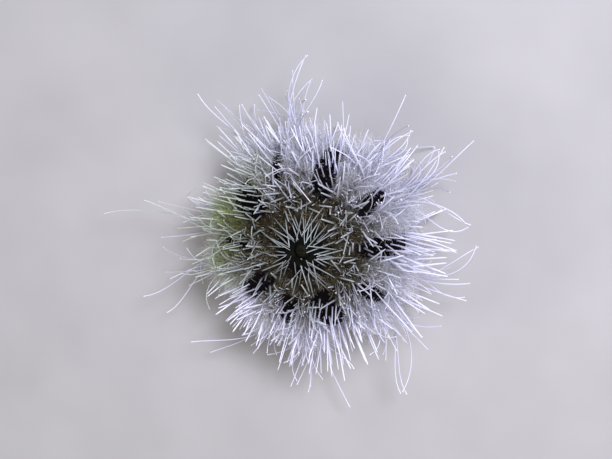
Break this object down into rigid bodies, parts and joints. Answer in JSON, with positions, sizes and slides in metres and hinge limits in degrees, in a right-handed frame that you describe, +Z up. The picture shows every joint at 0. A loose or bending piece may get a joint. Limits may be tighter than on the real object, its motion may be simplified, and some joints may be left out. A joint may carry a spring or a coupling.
{
  "type": "collector sea urchin",
  "caption": "Round sea urchin on its mouth side, with short pale spines all over, naked dark patches between bands, and long thin tube feet stretched out past the spines.",
  "frame": {"origin": "on the floor, under the centre of the bounding box of the whole animal, tube feet included", "axes": "+Z up along the animal's own axis, from mouth to apex; +X to the right and +Y to the top of the reference picture"},
  "size_m": [0.1384, 0.1322, 0.06],
  "materials": {
    "spiny_shell": "matt calcite",
    "apical_plates": "matt calcite plates with a thin olive skin",
    "soft_skin": "damp soft skin",
    "mouth_skin": "damp soft membrane",
    "tooth": "smooth hard calcite"
  },
  "bodies": {
    "root": {"ambulacrum_1": "spiny_shell", "ambulacrum_2": "spiny_shell", "ambulacrum_3": "spiny_shell", "ambulacrum_4": "spiny_shell", "ambulacrum_5": "spiny_shell", "interambulacrum_1": "spiny_shell", "interambulacrum_2": "spiny_shell", "interambulacrum_3": "spiny_shell", "interambulacrum_4": "spiny_shell", "interambulacrum_5": "spiny_shell", "apical_disc": "apical_plates", "periproct": "soft_skin", "peristome": "mouth_skin", "tooth_1": "tooth", "tooth_2": "tooth", "tooth_3": "tooth", "tooth_4": "tooth", "tooth_5": "tooth"}
  },
  "joints": []
}
